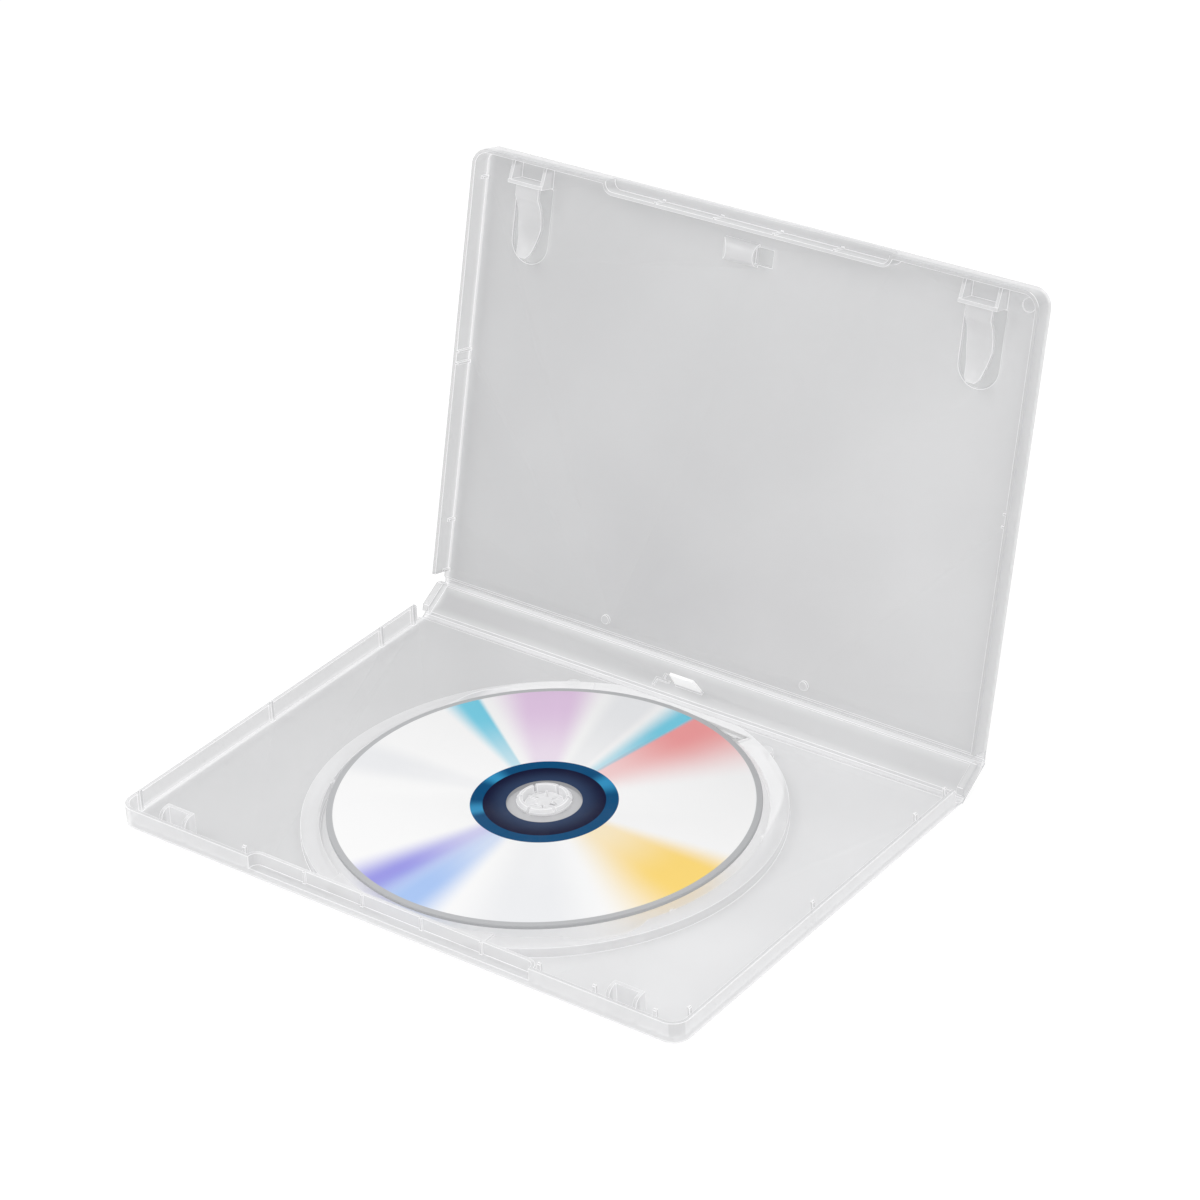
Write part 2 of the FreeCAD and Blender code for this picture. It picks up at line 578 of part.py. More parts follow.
def leaf_film():
    return slab(HALF - FILM_INSET, WEB / 2 + WEB_GAP, CASE_DEPTH - FILM_INSET, CORNER_RADIUS - FILM_INSET,
                OUTER - FILM, OUTER)


def spine_film():
    # A shallow arch over the spine's outside, from hinge to hinge.
    near, far = WEB, SPINE_WIDTH - WEB
    middle = SPINE_WIDTH / 2
    rest = OUTER - SHUT_GAP / 3
    deep = rest - FILM_BULGE
    under = rest - FILM
    inner = Part.Arc(vec(0, near, rest), vec(0, middle, deep), vec(0, far, rest)).toShape()
    outer = Part.Arc(vec(0, far, under), vec(0, middle, deep - FILM), vec(0, near, under)).toShape()
    ends = [Part.makeLine(vec(0, far, rest), vec(0, far, under)),
            Part.makeLine(vec(0, near, under), vec(0, near, rest))]
    outline = Part.Face(Part.Wire([inner, ends[0], outer, ends[1]]))
    film = outline.extrude(vec(CASE_LENGTH - 2 * FILM_INSET, 0, 0))
    film.translate(vec(-HALF + FILM_INSET, 0, 0))
    return film


def make_parts():
    return {
        "base_tray": make_tray(),
        "spine": make_spine(),
        "front_cover": make_cover(),
        "hub_button": make_button(),
        "disc": make_disc(),
        "sleeve_back": to_tray(leaf_film()),
        "sleeve_spine": to_spine(spine_film()),
        "sleeve_front": to_cover(leaf_film()),
    }


def main():
    os.makedirs("parts", exist_ok=True)
    for name, shape in make_parts().items():
        print(name, "solids", len(shape.Solids), "valid", shape.isValid(), "volume", round(shape.Volume, 1))
        shape.exportStep("parts/" + name + ".step")


main()
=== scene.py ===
import json
import math
import bmesh
import bpy
from mathutils import Matrix, Vector


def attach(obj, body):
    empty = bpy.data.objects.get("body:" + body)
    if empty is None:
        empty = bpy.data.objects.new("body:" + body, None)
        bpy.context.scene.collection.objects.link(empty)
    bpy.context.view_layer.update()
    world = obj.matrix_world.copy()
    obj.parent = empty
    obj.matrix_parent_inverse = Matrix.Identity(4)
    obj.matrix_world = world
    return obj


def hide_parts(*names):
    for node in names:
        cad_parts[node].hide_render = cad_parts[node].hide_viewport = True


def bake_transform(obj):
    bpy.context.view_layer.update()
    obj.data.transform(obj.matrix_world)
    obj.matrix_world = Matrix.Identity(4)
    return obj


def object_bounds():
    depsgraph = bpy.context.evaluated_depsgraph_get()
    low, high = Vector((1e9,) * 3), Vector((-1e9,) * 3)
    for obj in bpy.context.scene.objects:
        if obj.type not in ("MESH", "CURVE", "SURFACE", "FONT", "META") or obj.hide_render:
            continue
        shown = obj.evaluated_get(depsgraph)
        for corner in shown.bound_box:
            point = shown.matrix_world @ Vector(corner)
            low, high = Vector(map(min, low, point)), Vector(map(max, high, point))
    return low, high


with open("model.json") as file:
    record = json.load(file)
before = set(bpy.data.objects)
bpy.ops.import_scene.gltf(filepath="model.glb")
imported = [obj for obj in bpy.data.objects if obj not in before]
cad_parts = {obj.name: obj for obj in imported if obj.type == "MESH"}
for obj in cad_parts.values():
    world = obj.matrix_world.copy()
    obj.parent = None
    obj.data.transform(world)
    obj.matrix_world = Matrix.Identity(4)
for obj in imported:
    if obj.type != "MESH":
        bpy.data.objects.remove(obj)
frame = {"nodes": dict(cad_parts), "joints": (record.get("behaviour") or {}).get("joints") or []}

cadBox = [list(corner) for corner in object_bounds()]
mm = 0.001
print("case: frame loaded")

joints = {joint["name"]: joint for joint in frame["joints"]}
spineAxis, coverAxis, discAxis = (
    Vector(joints[name]["pos_m"]) / mm for name in ("spine_hinge", "cover_hinge", "disc_spin"))
spineFlat, coverFlat = (joints[name]["range_deg"][0] for name in ("spine_hinge", "cover_hinge"))

# sizes in millimetres and angles above level in degrees, worked out from the frame
# at each hinge's lower limit the case lies flat, so the limits give the angles
caseSizes = {
    "halfLength": cadBox[1][0] / mm,
    "depth": spineAxis.y - cadBox[0][1] / mm,
    "spineAxis": spineAxis,
    "spineWidth": (coverAxis - spineAxis).length,
    "spineAngle": -spineFlat,
    "coverAngle": -spineFlat - coverFlat,
    "hub": Vector((discAxis.x, discAxis.y, 0)),
}


def leafFrame(leaf):
    # a point on the leaf's hinge line, its direction away from it, and the direction into the case
    lean = math.radians(caseSizes["spineAngle"])
    rise = math.radians(caseSizes["coverAngle"])
    axis = caseSizes["spineAxis"]
    along = Vector((0, math.cos(lean), math.sin(lean)))
    if leaf == "tray":
        return axis, Vector((0, -1, 0)), Vector((0, 0, 1))
    if leaf == "spine":
        return axis, along, Vector((0, -math.sin(lean), math.cos(lean)))
    top = axis + along * caseSizes["spineWidth"]
    return top, Vector((0, math.cos(rise), math.sin(rise))), Vector((0, -math.sin(rise), math.cos(rise)))


# shader maths: an expression on sockets adds its Math nodes

def srgb(red, green, blue):
    def linear(value):
        value = value / 255
        return value / 12.92 if value <= 0.04045 else ((value + 0.055) / 1.055) ** 2.4
    return linear(red), linear(green), linear(blue), 1.0


class Socket:
    def __init__(self, tree, link):
        self.tree = tree
        self.link = link

    def __add__(self, other):
        return self.tree.maths("ADD", self, other)

    def __radd__(self, other):
        return self.tree.maths("ADD", other, self)

    def __sub__(self, other):
        return self.tree.maths("SUBTRACT", self, other)

    def __rsub__(self, other):
        return self.tree.maths("SUBTRACT", other, self)

    def __mul__(self, other):
        return self.tree.maths("MULTIPLY", self, other)

    def __rmul__(self, other):
        return self.tree.maths("MULTIPLY", other, self)

    def __truediv__(self, other):
        return self.tree.maths("DIVIDE", self, other)

    def __rtruediv__(self, other):
        return self.tree.maths("DIVIDE", other, self)

    def __pow__(self, other):
        return self.tree.maths("POWER", self, other)

    def __rpow__(self, other):
        return self.tree.maths("POWER", other, self)

    def function(self, operation):
        return self.tree.add("ShaderNodeMath", {"operation": operation}, {0: self})

    def between(self, low, high, start=0.0, end=1.0):
        # smooth step from start at low to end at high
        settings = {"interpolation_type": "SMOOTHSTEP"}
        return self.tree.add("ShaderNodeMapRange", settings, {0: self, 1: low, 2: high, 3: start, 4: end})

    def clipped(self):
        return self.tree.add("ShaderNodeClamp", {}, {0: self})


class Tree:
    def __init__(self, group):
        self.group = group

    def add(self, kind, settings, values, output=0):
        node = self.group.nodes.new(kind)
        for key, value in settings.items():
            setattr(node, key, value)
        for key, value in values.items():
            target = node.inputs[key]
            if isinstance(value, Socket):
                self.group.links.new(value.link, target)
            else:
                target.default_value = value
        return Socket(self, node.outputs[output]) if len(node.outputs) else node

    def maths(self, operation, first, second):
        return self.add("ShaderNodeMath", {"operation": operation}, {0: first, 1: second})

    def lesser(self, first, second):
        return self.maths("MINIMUM", first, second)

    def greater(self, first, second):
        return self.maths("MAXIMUM", first, second)

    def vectors(self, operation, first, second, output=0):
        return self.add("ShaderNodeVectorMath", {"operation": operation}, {0: first, 1: second}, output)

    def parts(self, vector):
        # the vector's first two parts
        first = self.add("ShaderNodeSeparateXYZ", {}, {0: vector})
        return first, Socket(self, first.link.node.outputs[1])

    def flatOffset(self, place, centre):
        return self.vectors("MULTIPLY", self.vectors("SUBTRACT", place, centre), (1, 1, 0))

    def radiusRound(self, place, centre):
        # the distance from an upright line through the centre, in millimetres
        flat = self.flatOffset(place, centre)
        return self.add("ShaderNodeVectorMath", {"operation": "LENGTH"}, {0: flat}, output="Value") * (1 / mm)

    def reach(self, vector, direction):
        # how far the vector goes along a direction, in millimetres
        return self.vectors("DOT_PRODUCT", vector, direction / mm, output="Value")

    def mixColour(self, factor, first, second, blend="MIX"):
        settings = {"data_type": "RGBA", "blend_type": blend, "clamp_factor": True}
        return self.add("ShaderNodeMix", settings, {0: factor, 6: first, 7: second}, output=2)

    def place(self):
        return self.add("ShaderNodeTexCoord", {}, {}, output="Object")

    def noise(self, vector, scale, detail=1.0):
        values = {"Vector": vector, "Scale": scale, "Detail": detail}
        return self.add("ShaderNodeTexNoise", {}, values, output="Fac")

    def bump(self, height, distance, strength):
        return self.add("ShaderNodeBump", {}, {"Height": height, "Distance": distance, "Strength": strength})


def shared(first, second, share):
    return first + share * (second - first)


def newMaterial(name):
    material = bpy.data.materials.new(name)
    material.use_nodes = True
    material.node_tree.nodes.clear()
    return material, Tree(material.node_tree)


def finishMaterial(tree, values):
    shader = tree.add("ShaderNodeBsdfPrincipled", {}, values)
    tree.add("ShaderNodeOutputMaterial", {}, {"Surface": shader})


# the mouldings' plastic; widths and heights are in millimetres; each leaf has its own lighter or darker copy
# of the same plastic's colours, as painted light and shade
frostedPlastic = {
    "panel": {"tray": srgb(209, 209, 210), "spine": srgb(191, 191, 192), "cover": srgb(197, 197, 198)},
    # painted light: the panel is painted lighter towards its right end
    "right": {"tray": srgb(225, 225, 226), "spine": srgb(203, 203, 204), "cover": srgb(206, 206, 207)},
    "paintedLightToRight": (-80.0, 80.0),       # the panel grows lighter towards its right end
    # painted light: the panel is painted lighter along its walls and creases, where the fillets catch the
    # light
    "paintedBorderLight": {"tray": srgb(226, 226, 227), "spine": srgb(224, 224, 225), "cover": srgb(215, 215, 216)},
    "borderWidth": 5.0,                     # the panel is lighter along its walls and creases
    "rimHeight": (1.0, 2.6),                # above the hinge line, where the panel turns into walls
    "rim": {"tray": srgb(198, 198, 199), "spine": srgb(198, 198, 199), "cover": srgb(188, 188, 189)},
    "detail": {"tray": srgb(213, 213, 214), "spine": srgb(216, 216, 217), "cover": srgb(203, 203, 204)},
    "detailInward": (2.4, 3.6),             # what stands up further in than this is a detail, not a rim
    "outerFace": {"tray": srgb(216, 216, 217), "spine": srgb(200, 200, 201), "cover": srgb(192, 192, 193)},
    "outerWidth": (0.25, 0.45),             # how near to the outline a face counts as the outer one
    # painted highlights and shade on the rounded edges: pale where light catches them, darker along the
    # outline, darkest at the left end
    "edge": srgb(234, 234, 235),
    "outerEdgeShade": srgb(178, 179, 181),       # edges on the case's outline
    "leftEdgeShade": srgb(140, 141, 143),
    "leftWidth": (0.3, 0.5),                # how near to the case's left end an edge is its darkest
    "tab": srgb(240, 240, 240),             # the spine's tab is thick enough to look white
    "tabHalf": (6.0, 7.0),                  # half its length, with its soft end
    # painted light: where the disc lies, the tray glows white and is more opaque, to lift the disc's shadow
    "recess": (30.0, 62.0),                 # radii round the hub, where the disc lies
    "recessSoft": (10.0, 1.0),              # width of its inner and of its outer edge
    "backSlot": 6.0,                        # the recess reaches further beside the spine
    "backSlotFrom": (10.0, 56.0),           # behind the tray's middle, from nothing to all of it
    "recessGlow": srgb(255, 255, 255),
    "alpha": {
        "panel": 0.46,
        "rim": 0.52,
        "detail": 0.6,
        "edge": 0.62,
        "outerEdgeShade": 0.8,
        "recess": 0.74,
        "tab": 0.82,
    },
    # painted light: every moulding glows evenly, standing in for light spread through the plastic
    "glow": 0.32,                           # light that has spread through the plastic
    "roughness": 0.36,
    "smoothing": 0.08,                      # how much smoother the grain's high places are
    "ior": 1.49,
    "grain": 1900.0,                        # frosting, per metre
    "grainDepth": 0.02,
    "grainStrength": 0.6,
    "cloud": 22.0,                          # faint clouds, per metre
    "cloudDepth": 0.07,
}


def edgeHighlightAndShade(tree, leaf, across, rim, outside):
    # painted highlights and shade: rounded edges are painted pale, darker along the case's outline and
    # darkest at its left end
    look = frostedPlastic
    fromEnd, toEnd = (width - caseSizes["halfLength"] for width in look["leftWidth"])
    left = rim * (1.0 - across.between(fromEnd, toEnd))
    if leaf == "tray":
        outside = outside * (1.0 - rim * (1.0 - left))
    outline = tree.mixColour(left, look["outerEdgeShade"], look["leftEdgeShade"])
    alpha = shared(look["alpha"]["edge"], look["alpha"]["outerEdgeShade"], outside)
    return tree.mixColour(outside, look["edge"], outline), alpha


def faceLook(tree, leaf, across, rim, outside, nearest, fromCrease):
    # panel, what stands up from it, and the outer faces
    look = frostedPlastic
    # painted light: lighter along the walls and creases
    paintedBorderLight = 1.0 - tree.lesser(nearest, fromCrease).between(0.0, look["borderWidth"])
    # painted light: lighter towards the panel's right end
    lit = across.between(*look["paintedLightToRight"])
    panel = tree.mixColour(lit, look["panel"][leaf], look["right"][leaf])
    panel = tree.mixColour(paintedBorderLight, panel, look["paintedBorderLight"][leaf])
    detail = nearest.between(*look["detailInward"])
    raised = tree.mixColour(detail, look["rim"][leaf], look["detail"][leaf])
    raisedAlpha = shared(look["alpha"]["rim"], look["alpha"]["detail"], detail)
    colour = tree.mixColour(outside, tree.mixColour(rim, panel, raised), look["outerFace"][leaf])
    return colour, shared(look["alpha"]["panel"], raisedAlpha, tree.greater(rim, outside))


# painted light: where the tray glows white under the disc
def underDiscGlowMask(tree, place):
    look = frostedPlastic
    inner, outer = look["recess"]
    innerSoft, outerSoft = look["recessSoft"]
    fromHub = tree.radiusRound(place, caseSizes["hub"] * mm)
    fromHub = fromHub - look["backSlot"] * tree.reach(place, Vector((0, 1, 0))).between(*look["backSlotFrom"])
    return fromHub.between(inner, inner + innerSoft) * (1.0 - fromHub.between(outer - outerSoft, outer))


def makeFrostedPlastic(name, leaf, edge=False):
    look = frostedPlastic
    material, tree = newMaterial(name)
    place = tree.place()
    origin, outward, inward = leafFrame(leaf)
    offset = tree.vectors("SUBTRACT", place, origin * mm)
    away = tree.reach(offset, outward)
    across = tree.reach(place, Vector((1, 0, 0)))
    distance = across.function("ABSOLUTE")
    rim = tree.reach(offset, inward).between(*look["rimHeight"])
    nearest = tree.lesser(caseSizes["halfLength"] - distance, caseSizes["depth"] - away)
    fromCrease = tree.lesser(away, caseSizes["spineWidth"] - away) if leaf == "spine" else nearest
    outside = 1.0 - nearest.between(*look["outerWidth"])
    # painted highlights and shade on the rounded edges
    if edge:
        colour, alpha = edgeHighlightAndShade(tree, leaf, across, rim, outside)
    else:
        colour, alpha = faceLook(tree, leaf, across, rim, outside, nearest, fromCrease)
    if leaf == "spine":
        tab = rim * (1.0 - distance.between(*look["tabHalf"]))
        colour = tree.mixColour(tab, colour, look["tab"])
        alpha = shared(alpha, look["alpha"]["tab"], tab)
    grain = tree.noise(place, look["grain"])
    shade = 1.0 - look["cloudDepth"] * (tree.noise(place, look["cloud"]) - 0.5) * 2.0
    shadeColour = tree.add("ShaderNodeCombineColor", {}, {0: shade, 1: shade, 2: shade})
    shaded = tree.mixColour(1.0, colour, shadeColour, "MULTIPLY")
    # painted light: the moulding glows in its own colour
    glowing = shaded
    # painted light: the tray glows white and grows more opaque under the disc, lifting its shadow
    if leaf == "tray" and not edge:
        inRecess = underDiscGlowMask(tree, place)
        glowing = tree.mixColour(inRecess, shaded, look["recessGlow"])
        alpha = shared(alpha, look["alpha"]["recess"], inRecess)
    finishMaterial(tree, {
        "Base Color": shaded,
        "Emission Color": glowing,
        "Emission Strength": look["glow"],
        "Alpha": alpha,
        "Roughness": look["roughness"] - look["smoothing"] * grain,
        "IOR": look["ior"],
        "Normal": tree.bump(grain, look["grainDepth"] * mm, look["grainStrength"]),
    })
    return material


# the disc's top; radii in millimetres, angles in degrees round the disc
discFace = {
    "white": srgb(252, 252, 252),
    "rim": srgb(190, 191, 193),
    "clear": srgb(222, 222, 224),
    "clearRadius": 10.5,
    "blueInner": 17.0,
    "blueOuter": 20.5,
    "printRadius": 58.2,
    "soft": 0.1,                            # half the width of each ring's edge
    "turn": 37.5,                           # from the photographed view's right to +X
    "wrap": -160.0,                         # where the sectors' count begins
    # painted shade on the disc's face
    "silverShade": srgb(240, 241, 243),
    "violet": srgb(158, 156, 232),
    "sky": srgb(172, 200, 245),
    "gold": srgb(255, 220, 124),
    "rose": srgb(244, 160, 160),
    "aqua": srgb(120, 208, 232),
    "lilac": srgb(230, 202, 232),
    "blue": srgb(0, 76, 122),
    "gleam": srgb(60, 165, 215),
    "darkInner": srgb(44, 62, 94),
    "darkOuter": srgb(10, 14, 50),
    # painted reflection: soft rainbow sectors of light diffracted off the disc, and painted silver shade;
    # where each begins, is full, stays full and ends
    "paintedReflections": (
        ("silverShade", -120, -100, -90, -72),
        ("silverShade", 53, 58, 66, 73),
        ("silverShade", 140, 150, 154, 164),
        ("violet", -156, -143, -141, -128),
        ("sky", -143, -131, -128, -116),
        ("gold", -76, -52, -41, -30),
        ("rose", 7, 37, 44, 46),
        ("aqua", 42, 44, 46, 55),
        ("lilac", 71, 82, 94, 107),
        ("aqua", 107, 109, 113, 120),
    ),
    "sectorReach": (20.0, 50.0),            # the sectors grow stronger outwards
    "sectorStrength": (0.5, 1.0),
    # gleams on the blue ring, in the same way
    "gleams": ((4, 24, 27, 42), (120, 135, 137, 150), (172, 187, 189, 199)),
    "gleamStrength": 0.7,
    "clearAlpha": 0.45,
    "roughness": 0.24,
    "rimRoughness": 0.34,
    "specular": 0.05,
    "ior": 1.5,
}


def inSector(angle, begins, full, stays, ends):
    return angle.between(begins, full) * (1.0 - angle.between(stays, ends))


def makeDiscFace():
    look = discFace
    material, tree = newMaterial("discFace")
    place = tree.place()
    centre = caseSizes["hub"] * mm
    radius = tree.radiusRound(place, centre)

    def outsideOf(ring):
        return radius.between(look[ring] - look["soft"], look[ring] + look["soft"])

    across, away = tree.parts(tree.flatOffset(place, centre))
    angle = tree.maths("ARCTAN2", away, across) * (180 / math.pi)
    turns = (angle - look["turn"] - look["wrap"]) / 360
    angle = turns.function("FRACT") * 360 + look["wrap"]
    strength = radius.between(*look["sectorReach"], *look["sectorStrength"])
    # painted reflection: rainbow sectors of diffracted light over the white face
    paintedRainbow = look["white"]
    for name, *limits in look["paintedReflections"]:
        paintedRainbow = tree.mixColour(inSector(angle, *limits) * strength, paintedRainbow, look[name])
    blue = look["blue"]
    for limits in look["gleams"]:
        blue = tree.mixColour(inSector(angle, *limits) * look["gleamStrength"], blue, look["gleam"])
    fromClear = radius.between(look["clearRadius"], look["blueInner"])
    colour = tree.mixColour(fromClear, look["darkInner"], look["darkOuter"])
    for ring, nextColour in (("blueInner", blue), ("blueOuter", paintedRainbow), ("printRadius", look["rim"])):
        colour = tree.mixColour(outsideOf(ring), colour, nextColour)
    inClear = 1.0 - outsideOf("clearRadius")
    finishMaterial(tree, {
        "Base Color": tree.mixColour(inClear, colour, look["clear"]),
        "Alpha": shared(1.0, look["clearAlpha"], inClear),
        "Roughness": shared(look["roughness"], look["rimRoughness"], outsideOf("printRadius")),
        "Specular IOR Level": look["specular"],
        "IOR": look["ior"],
    })
    return material


def newObject(name, data):
    piece = bpy.data.objects.new(name, data)
    bpy.context.scene.collection.objects.link(piece)
    return piece


def bakeModifiers(piece):
    bpy.context.view_layer.update()
    graph = bpy.context.evaluated_depsgraph_get()
    mesh = bpy.data.meshes.new_from_object(piece.evaluated_get(graph))
    piece.modifiers.clear()
    piece.data = mesh
    return mesh


# how the mouldings' edges are rounded off, in millimetres and degrees
edgeFinish = {
    "merge": 0.002,         # corners this near to each other are one
    "flat": 0.4,            # facets that turn less than this are joined
    "corner": 38.0,         # edges that turn more than this are rounded
    "crease": 32.0,         # edges that turn more than this stay sharp in the shading
    "reachShare": 0.46,     # what a rounding may take of the narrower face beside it
    "segments": 2,
}


def prepareMoulding(mesh, radius):
    # joins the frame's loose triangles, and lets each corner edge be rounded as far as its faces have room
    finish = edgeFinish
    work = bmesh.new()
    work.from_mesh(mesh)
    bmesh.ops.remove_doubles(work, verts=work.verts, dist=finish["merge"] * mm)
    bmesh.ops.dissolve_limit(work, verts=work.verts, edges=work.edges, use_dissolve_boundaries=False,
                             angle_limit=math.radians(finish["flat"]))
    weight = work.edges.layers.float.new("bevel_weight_edge")
    for side in work.edges:
        if side.calc_face_angle(0.0) > math.radians(finish["corner"]):
            reach = min(face.calc_area() / side.calc_length() for face in side.link_faces)
            side[weight] = min(1.0, finish["reachShare"] * reach / radius)
    work.to_mesh(mesh)
    work.free()


def smoothFaces(mesh):
    mesh.shade_smooth()
    mesh.set_sharp_from_angle(angle=math.radians(edgeFinish["crease"]))


def moulded(node, body, name, materials, radius):
    # a copy of the node with its edges rounded off as the mould leaves them
    mesh = frame["nodes"][node].data.copy()
    mesh.materials.clear()
    prepareMoulding(mesh, radius * mm)
    piece = newObject(name, mesh)
    for material in materials:
        mesh.materials.append(material)
    bevel = piece.modifiers.new("edges", "BEVEL")
    bevel.width = radius * mm
    bevel.segments = edgeFinish["segments"]
    bevel.limit_method = "WEIGHT"
    bevel.use_clamp_overlap = False
    bevel.material = len(materials) - 1
    mesh = bakeModifiers(piece)
    smoothFaces(mesh)
    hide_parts(node)
    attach(piece, body)
    print("case:", name, len(mesh.polygons), "faces")


# CAD node, body, name, the leaf whose plastic it is, and the rounding of its edges in millimetres
mouldings = (
    ("base_tray", "tray", "trayMoulding", "tray", 0.16),
    ("spine", "spine", "spineMoulding", "spine", 0.14),
    ("front_cover", "cover", "coverMoulding", "cover", 0.16),
    ("hub_button", "button", "hubButton", "tray", 0.1),
)
discRounding = 0.12

for node, body, name, leaf, radius in mouldings:
    facePlastic = makeFrostedPlastic(name + "Plastic", leaf)
    edgePlastic = makeFrostedPlastic(name + "Edge", leaf, edge=True)
    moulded(node, body, name, [facePlastic, edgePlastic], radius)

moulded("disc", "disc", "discBody", [makeDiscFace()], discRounding)


# the sleeve's film; lengths in millimetres
clearFilm = {
    "colour": srgb(208, 209, 210),
    "weld": srgb(232, 232, 233),
    "weldFrom": 1.6,        # from the film's edge
    "weldTo": 2.1,
    "weldSoft": 0.15,
    "alpha": 0.52,
    "weldAlpha": 0.72,
    "roughness": 0.16,
    "weldRoughness": 0.36,
    "ior": 1.49,
    "slack": 26.0,          # soft waves, per metre
    "slackDepth": 0.6,
    "slackStrength": 0.35,
}

# one film over the outside, in two pieces that meet along the spine's middle
filmSheet = {
    "inset": 1.2,           # from the case's edge
    "corner": 4.0,
    "thickness": 0.15,
    "wallShare": 0.9,       # of that thickness, so that the wall stays inside the CAD's
    "offHinge": 0.2,        # from the hinge line out to the film's inner face
    "bulge": 1.5,           # how far the film stands off the spine
    "stations": (90.0, 45.0, 15.0, 5.0, 1.6),       # the path's points from the hinge line
    "archSteps": 16,        # along half the spine, of which the fold takes the first few
    "foldSteps": 3,
    "foldReach": {"tray": 0.38, "cover": 0.46},     # from the hinge line to the film
    "columns": 14,
    "rows": 330,
    "bendFrom": 3.0,        # from the hinge line, on the tray or cover
    "bendTo": 3.0,          # on the spine
}


def makeClearFilm():
    look = clearFilm
    material, tree = newMaterial("clearFilm")
    place = tree.add("ShaderNodeUVMap", {"uv_map": "filmUv"}, {})
    across, along = tree.parts(place)
    half = (caseSizes["halfLength"] - filmSheet["inset"]) * mm
    fromEdge = tree.lesser(half - across.function("ABSOLUTE"), along)
    weld = fromEdge.between((look["weldFrom"] - look["weldSoft"]) * mm, look["weldFrom"] * mm)
    weld = weld * (1.0 - fromEdge.between(look["weldTo"] * mm, (look["weldTo"] + look["weldSoft"]) * mm))
    slack = tree.noise(place, look["slack"])
    finishMaterial(tree, {
        "Base Color": tree.mixColour(weld, look["colour"], look["weld"]),
        "Alpha": shared(look["alpha"], look["weldAlpha"], weld),
        "Roughness": shared(look["roughness"], look["weldRoughness"], weld),
        "IOR": look["ior"],
        "Normal": tree.bump(slack, look["slackDepth"] * mm, look["slackStrength"]),
    })
    return material


def filmPath(leaf):
    # the middle of the film's wall in a plane across the case, from the free edge to the spine's middle
    origin, outward, inward = leafFrame(leaf)
    hinge, spineAlong, spineIn = leafFrame("spine")
    depth = -filmSheet["offHinge"] - filmSheet["thickness"] / 2
    stations = (caseSizes["depth"] - filmSheet["inset"], *filmSheet["stations"])
    points = [origin + outward * station + inward * depth for station in stations]
    fold = (spineIn + inward).normalized()
    points.append(origin - fold * filmSheet["foldReach"][leaf])
    width = caseSizes["spineWidth"]
    steps = filmSheet["archSteps"]
    for step in range(filmSheet["foldSteps"], steps + 1):
        share = step / steps / 2
        arch = filmSheet["bulge"] * (1 - (2 * share - 1) ** 2)
        place = width * (share if leaf == "tray" else 1 - share)
        points.append(hinge + spineAlong * place + spineIn * (depth - arch))
    return [point * mm for point in points]


def makeFilmTree():
    group = bpy.data.node_groups.new("sleeveFilm", "GeometryNodeTree")
    face = group.interface
    face.new_socket("Geometry", in_out="INPUT", socket_type="NodeSocketGeometry")
    for label in ("Half Width", "Corner Radius", "Length"):
        face.new_socket(label, in_out="INPUT", socket_type="NodeSocketFloat")
    for label in ("Columns", "Rows"):
        face.new_socket(label, in_out="INPUT", socket_type="NodeSocketInt")
    face.new_socket("Film", in_out="INPUT", socket_type="NodeSocketMaterial")
    face.new_socket("Geometry", in_out="OUTPUT", socket_type="NodeSocketGeometry")
    tree = Tree(group)
    entry = group.nodes.new("NodeGroupInput")
    given = {socket.name: Socket(tree, socket) for socket in entry.outputs if socket.name}
    curve = tree.add("GeometryNodeMeshToCurve", {}, {0: given["Geometry"]})
    # a grid from -1 to 1 across and from -0.5 to 0.5 along
    grid = tree.add("GeometryNodeMeshGrid", {}, {
        "Size X": 2.0, "Size Y": 1.0, "Vertices X": given["Columns"], "Vertices Y": given["Rows"]})
    side, fromMiddle = tree.parts(tree.add("GeometryNodeInputPosition", {}, {}))
    along = (fromMiddle + 0.5) * given["Length"]
    # the free edge's corners are round
    radius = given["Corner Radius"]
    inCorner = tree.greater(radius - along, 0.0)
    chord = (radius ** 2.0 - inCorner ** 2.0).function("SQRT")
    across = side * (given["Half Width"] - radius + chord)
    onPath = tree.add("GeometryNodeSampleCurve", {"mode": "LENGTH", "data_type": "FLOAT"},
                      {"Curves": curve, "Length": along}, output="Position")
    shift = tree.add("ShaderNodeCombineXYZ", {}, {0: across})
    uv = tree.add("ShaderNodeCombineXYZ", {}, {0: across, 1: along})
    named = tree.add("GeometryNodeStoreNamedAttribute", {"data_type": "FLOAT2", "domain": "CORNER"},
                     {"Geometry": grid, "Name": "filmUv", "Value": uv})
    placed = tree.add("GeometryNodeSetPosition", {}, {
        "Geometry": named, "Position": tree.vectors("ADD", onPath, shift)})
    real = tree.add("GeometryNodeRealizeInstances", {}, {0: placed})
    done = tree.add("GeometryNodeSetMaterial", {}, {"Geometry": real, "Material": given["Film"]})
    leave = group.nodes.new("NodeGroupOutput")
    group.links.new(done.link, leave.inputs[0])
    return group


def setInputs(modifier, values):
    for item in modifier.node_group.interface.items_tree:
        if item.item_type == "SOCKET" and item.in_out == "INPUT" and item.name in values:
            modifier[item.identifier] = values[item.name]


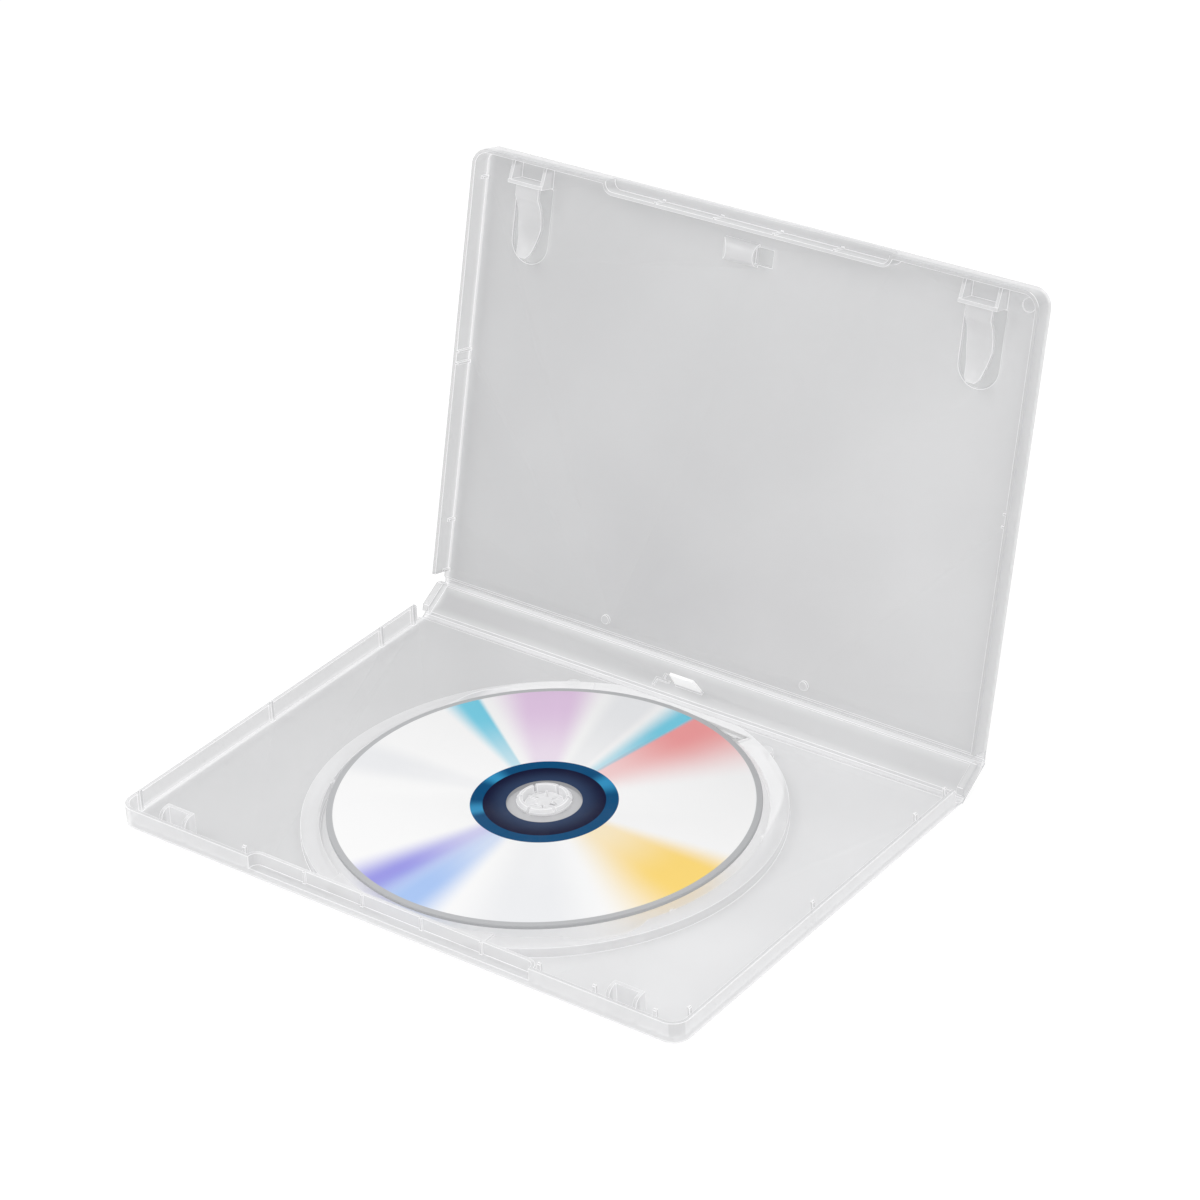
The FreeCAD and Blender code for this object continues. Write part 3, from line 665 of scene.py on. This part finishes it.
def makeFilm(name, leaf, nodes, group, material):
    points = filmPath(leaf)
    mesh = bpy.data.meshes.new(name)
    mesh.from_pydata(points, [(i, i + 1) for i in range(len(points) - 1)], [])
    piece = newObject(name, mesh)
    laying = piece.modifiers.new("film", "NODES")
    laying.node_group = group
    setInputs(laying, {
        "Half Width": (caseSizes["halfLength"] - filmSheet["inset"]) * mm,
        "Corner Radius": filmSheet["corner"] * mm,
        "Length": sum((b - a).length for a, b in zip(points, points[1:])),
        "Columns": filmSheet["columns"],
        "Rows": filmSheet["rows"],
        "Film": material,
    })
    bakeModifiers(piece)
    wall = piece.modifiers.new("thickness", "SOLIDIFY")
    wall.thickness = filmSheet["thickness"] * filmSheet["wallShare"] * mm
    wall.offset = 0
    mesh = bakeModifiers(piece)
    smoothFaces(mesh)
    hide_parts(*nodes)
    origin, outward = leafFrame(leaf)[:2]
    start = origin + outward * filmSheet["bendFrom"]
    hinge, spineAlong = leafFrame("spine")[:2]
    reach = filmSheet["bendTo"]
    end = hinge + spineAlong * (reach if leaf == "tray" else caseSizes["spineWidth"] - reach)
    start * mm
    end * mm
    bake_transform(piece)
    print("case:", name, len(mesh.polygons), "faces")


filmGroup = makeFilmTree()
filmMaterial = makeClearFilm()
makeFilm("sleeveTrayFilm", "tray", ["sleeve_back", "sleeve_spine"], filmGroup, filmMaterial)
makeFilm("sleeveCoverFilm", "cover", ["sleeve_front", "sleeve_spine"], filmGroup, filmMaterial)


# camera, floor and light; lengths in millimetres, angles in degrees
studio = {
    "azimuth": 37.59,
    "elevation": 29.85,
    "roll": -2.58,
    "distance": 1060.92,
    "side": 19.31,
    "lift": 23.61,
    "target": (0, 0, 40),
    "focus": 3917.18,       # focal length in pixels, of a photograph as wide as "width"
    "width": 1200,
    "sensor": 36.0,
    "clip": (50.0, 20000.0),
    "worldLight": 0.54,
    "floorHalf": 3000.0,
    "floorDrop": 0.3,       # under the case, so that its floor and the studio's don't share a plane
    "floorShare": 0.68,     # how much of the floor's whiteness is there whatever the light
    "floorWhite": 1.14,
    "floorTints": (srgb(247, 247, 247), srgb(250, 250, 250)),
    "floorSpeckle": 40.0,   # per metre
    "speckleDetail": 3.0,
    "lampTarget": (0, 20, 40),
    # name, place, size, power
    "lamps": (
        ("keyLamp", (-700, -500, 1100), 900, 6.1),
        ("fillLamp", (900, -600, 700), 800, 3.3),
        ("backLamp", (100, 900, 900), 900, 3.9),
    ),
}
plainWhite = (1, 1, 1, 1)


def makeCamera():
    azimuth, elevation, roll = (math.radians(studio[key]) for key in ("azimuth", "elevation", "roll"))
    level = math.cos(elevation)
    back = Vector((math.sin(azimuth) * level, -math.cos(azimuth) * level, math.sin(elevation)))
    right = Vector((math.cos(azimuth), math.sin(azimuth), 0))
    up = back.cross(right)
    spot = right * studio["side"] + up * studio["lift"] + Vector(studio["target"]) + back * studio["distance"]
    turnedRight = right * math.cos(roll) + up * math.sin(roll)
    turnedUp = up * math.cos(roll) - right * math.sin(roll)
    data = bpy.data.cameras.new("photoCamera")
    data.sensor_width = studio["sensor"]
    data.lens = studio["focus"] / studio["width"] * data.sensor_width
    data.clip_start, data.clip_end = (distance * mm for distance in studio["clip"])
    camera = newObject("photoCamera", data)
    turned = Matrix((turnedRight, turnedUp, back)).transposed().to_4x4()
    turned.translation = spot * mm
    camera.matrix_world = turned
    bpy.context.scene.camera = camera


def seenDirectly(tree):
    path = tree.group.nodes.new("ShaderNodeLightPath")
    labels = ("Is Camera Ray", "Is Glossy Ray", "Is Transmission Ray")
    camera, glossy, through = (Socket(tree, path.outputs[label]) for label in labels)
    return (camera + glossy + through).clipped()


def makeWorld():
    # a white ground where it is seen, and a dimmer light on the case
    world = bpy.data.worlds.new("studioWorld")
    bpy.context.scene.world = world
    world.use_nodes = True
    world.node_tree.nodes.clear()
    tree = Tree(world.node_tree)
    seen = seenDirectly(tree)
    light = tree.add("ShaderNodeBackground", {}, {"Color": plainWhite, "Strength": studio["worldLight"]})
    white = tree.add("ShaderNodeBackground", {}, {"Color": plainWhite, "Strength": 1.0})
    mixed = tree.add("ShaderNodeMixShader", {}, {0: seen, 1: light, 2: white})
    tree.add("ShaderNodeOutputWorld", {}, {"Surface": mixed})


def makeFloor():
    half = studio["floorHalf"] * mm
    low = -studio["floorDrop"] * mm
    corners = [(-half, -half, low), (half, -half, low), (half, half, low), (-half, half, low)]
    mesh = bpy.data.meshes.new("studioFloor")
    mesh.from_pydata(corners, [], [(0, 1, 2, 3)])
    floor = newObject("studioFloor", mesh)
    material, tree = newMaterial("paleFloor")
    seen = seenDirectly(tree)
    speckle = tree.noise(tree.place(), studio["floorSpeckle"], studio["speckleDetail"])
    matt = tree.add("ShaderNodeBsdfDiffuse", {}, {"Color": tree.mixColour(speckle, *studio["floorTints"])})
    white = tree.add("ShaderNodeEmission", {}, {"Color": plainWhite, "Strength": studio["floorWhite"]})
    mixed = tree.add("ShaderNodeMixShader", {}, {0: seen * studio["floorShare"], 1: matt, 2: white})
    tree.add("ShaderNodeOutputMaterial", {}, {"Surface": mixed})
    mesh.materials.append(material)


def makeLamps():
    for name, place, size, power in studio["lamps"]:
        data = bpy.data.lights.new(name, "AREA")
        data.shape = "DISK"
        data.size = size * mm
        data.energy = power
        lamp = newObject(name, data)
        lamp.location = Vector(place) * mm
        lamp.rotation_mode = "QUATERNION"
        lamp.rotation_quaternion = (Vector(place) - Vector(studio["lampTarget"])).to_track_quat("Z", "Y")


makeCamera()
makeWorld()
makeFloor()
makeLamps()
bpy.context.scene.view_settings.view_transform = "Standard"
print("case: studio ready")
